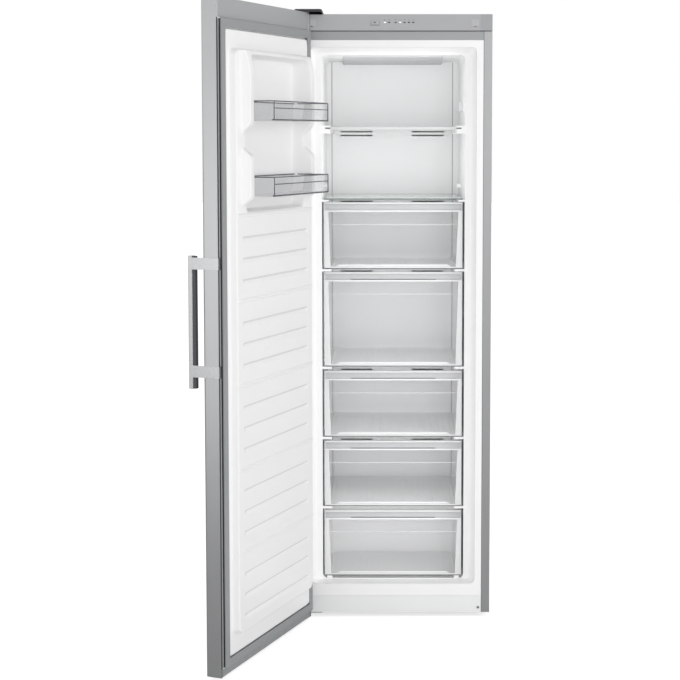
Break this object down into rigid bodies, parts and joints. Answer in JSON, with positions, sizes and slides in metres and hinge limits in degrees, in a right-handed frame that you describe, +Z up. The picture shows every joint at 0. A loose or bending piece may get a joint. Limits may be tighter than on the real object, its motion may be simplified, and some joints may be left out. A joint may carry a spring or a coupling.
{
  "type": "upright freezer",
  "caption": "Tall silver frost-free freezer with its door standing open, clear drawers and glass shelves inside, and bins in the door.",
  "frame": {"origin": "on the floor at the centre of the cabinet's footprint", "axes": "+Z up, -Y towards the user at the front, +X to the right seen from the front"},
  "size_m": [0.8546, 1.1926, 1.862],
  "materials": {
    "silver_paint": "satin",
    "zinc_steel": "satin",
    "liner_white": "satin",
    "fascia_silver": "satin",
    "trim_grey": "matte",
    "dark_plastic": "matte",
    "handle_silver": "satin",
    "gasket_grey": "matte",
    "drawer_clear": "clear",
    "bin_smoke": "clear",
    "shelf_glass": "clear",
    "lens_blue": "gloss",
    "board_green": "matte",
    "foam": "matte",
    "black_steel": "satin",
    "coil_aluminium": "satin",
    "copper": "satin"
  },
  "bodies": {
    "cabinet": {"outer_cabinet": "silver_paint", "back_panel": "zinc_steel", "inner_liner": "liner_white", "cabinet_insulation": "foam", "base_pan": "zinc_steel", "machine_partition": "zinc_steel", "plinth_panel": "silver_paint", "control_fascia": "fascia_silver", "fascia_end_caps": "fascia_silver", "fascia_screw_caps": "fascia_silver", "indicator_lenses": "lens_blue", "control_board": "board_green", "top_hinge_bracket": "zinc_steel", "case_screws": "zinc_steel", "top_hinge_cover": "dark_plastic", "lower_hinge_bracket": "zinc_steel", "evaporator_cover": "liner_white", "air_intake_hood": "trim_grey", "evaporator_coil": "coil_aluminium", "drain_trough": "trim_grey", "defrost_heater": "zinc_steel", "fan_motor": "black_steel", "temperature_sensor": "liner_white", "compressor": "black_steel", "compressor_mounts": "gasket_grey", "drip_tray": "trim_grey", "refrigerant_pipe": "copper", "rear_cover": "zinc_steel", "mains_inlet": "dark_plastic"},
    "door": {"door_skin": "silver_paint", "door_liner": "liner_white", "door_insulation": "foam", "door_gasket": "gasket_grey", "door_top_cap": "dark_plastic", "door_bottom_cap": "dark_plastic", "hinge_bushes": "dark_plastic", "handle_bar": "handle_silver", "handle_grip": "dark_plastic", "handle_brackets": "handle_silver"},
    "button": {"control_button": "fascia_silver"},
    "fan": {"evaporator_fan": "dark_plastic"},
    "foot_left": {"levelling_foot_left": "dark_plastic"},
    "foot_right": {"levelling_foot_right": "dark_plastic"},
    "roller_left": {"rear_roller_left": "dark_plastic"},
    "roller_right": {"rear_roller_right": "dark_plastic"},
    "shelf_upper": {"glass_shelf_upper": "shelf_glass", "shelf_trim_upper": "trim_grey"},
    "shelf_lower": {"glass_shelf_lower": "shelf_glass"},
    "bin_upper": {"door_bin_upper": "bin_smoke"},
    "bin_lower": {"door_bin_lower": "bin_smoke"},
    "drawer_1": {"drawer_1_front": "drawer_clear", "drawer_1_tub": "drawer_clear"},
    "drawer_2": {"drawer_2_front": "drawer_clear", "drawer_2_tub": "drawer_clear"},
    "drawer_3": {"drawer_3_front": "drawer_clear", "drawer_3_tub": "drawer_clear"},
    "drawer_4": {"drawer_4_front": "drawer_clear", "drawer_4_tub": "drawer_clear"},
    "drawer_5": {"drawer_5_front": "drawer_clear", "drawer_5_tub": "drawer_clear"}
  },
  "joints": [
    {"name": "door_hinge", "type": "hinge", "parent": "cabinet", "child": "door", "pos_m": [-0.282, -0.331, 0.9], "axis": [0, 0, -1], "range_deg": [-111.7, 23.3]},
    {"name": "button_press", "type": "slide", "parent": "cabinet", "child": "button", "axis": [0, 1, 0], "range_m": [0, 0.001], "stiffness_N_per_m": 800, "springref_m": -0.0005},
    {"name": "fan_spin", "type": "hinge", "parent": "cabinet", "child": "fan", "pos_m": [0, 0.2, 1.61], "axis": [0, 1, 0], "continuous": true},
    {"name": "foot_left_turn", "type": "hinge", "parent": "cabinet", "child": "foot_left", "pos_m": [-0.24, -0.213, 0.02], "axis": [0, 0, 1], "continuous": true},
    {"name": "roller_left_spin", "type": "hinge", "parent": "cabinet", "child": "roller_left", "pos_m": [-0.23, 0.253, 0.013], "axis": [1, 0, 0], "continuous": true},
    {"name": "foot_right_turn", "type": "hinge", "parent": "cabinet", "child": "foot_right", "pos_m": [0.24, -0.213, 0.02], "axis": [0, 0, 1], "continuous": true},
    {"name": "roller_right_spin", "type": "hinge", "parent": "cabinet", "child": "roller_right", "pos_m": [0.23, 0.253, 0.013], "axis": [1, 0, 0], "continuous": true},
    {"name": "shelf_upper_slide", "type": "slide", "parent": "cabinet", "child": "shelf_upper", "axis": [0, -1, 0], "range_m": [0, 0.36]},
    {"name": "shelf_lower_slide", "type": "slide", "parent": "cabinet", "child": "shelf_lower", "axis": [0, -1, 0], "range_m": [0, 0.36]},
    {"name": "drawer_1_slide", "type": "slide", "parent": "cabinet", "child": "drawer_1", "axis": [0, -1, 0], "range_m": [0, 0.36]},
    {"name": "drawer_2_slide", "type": "slide", "parent": "cabinet", "child": "drawer_2", "axis": [0, -1, 0], "range_m": [0, 0.36]},
    {"name": "drawer_3_slide", "type": "slide", "parent": "cabinet", "child": "drawer_3", "axis": [0, -1, 0], "range_m": [0, 0.36]},
    {"name": "drawer_4_slide", "type": "slide", "parent": "cabinet", "child": "drawer_4", "axis": [0, -1, 0], "range_m": [0, 0.36]},
    {"name": "drawer_5_slide", "type": "slide", "parent": "cabinet", "child": "drawer_5", "axis": [0, -1, 0], "range_m": [0, 0.23]},
    {"name": "bin_upper_lift", "type": "slide", "parent": "door", "child": "bin_upper", "axis": [0, 0, 1], "range_m": [0, 0.05]},
    {"name": "bin_lower_lift", "type": "slide", "parent": "door", "child": "bin_lower", "axis": [0, 0, 1], "range_m": [0, 0.05]}
  ]
}
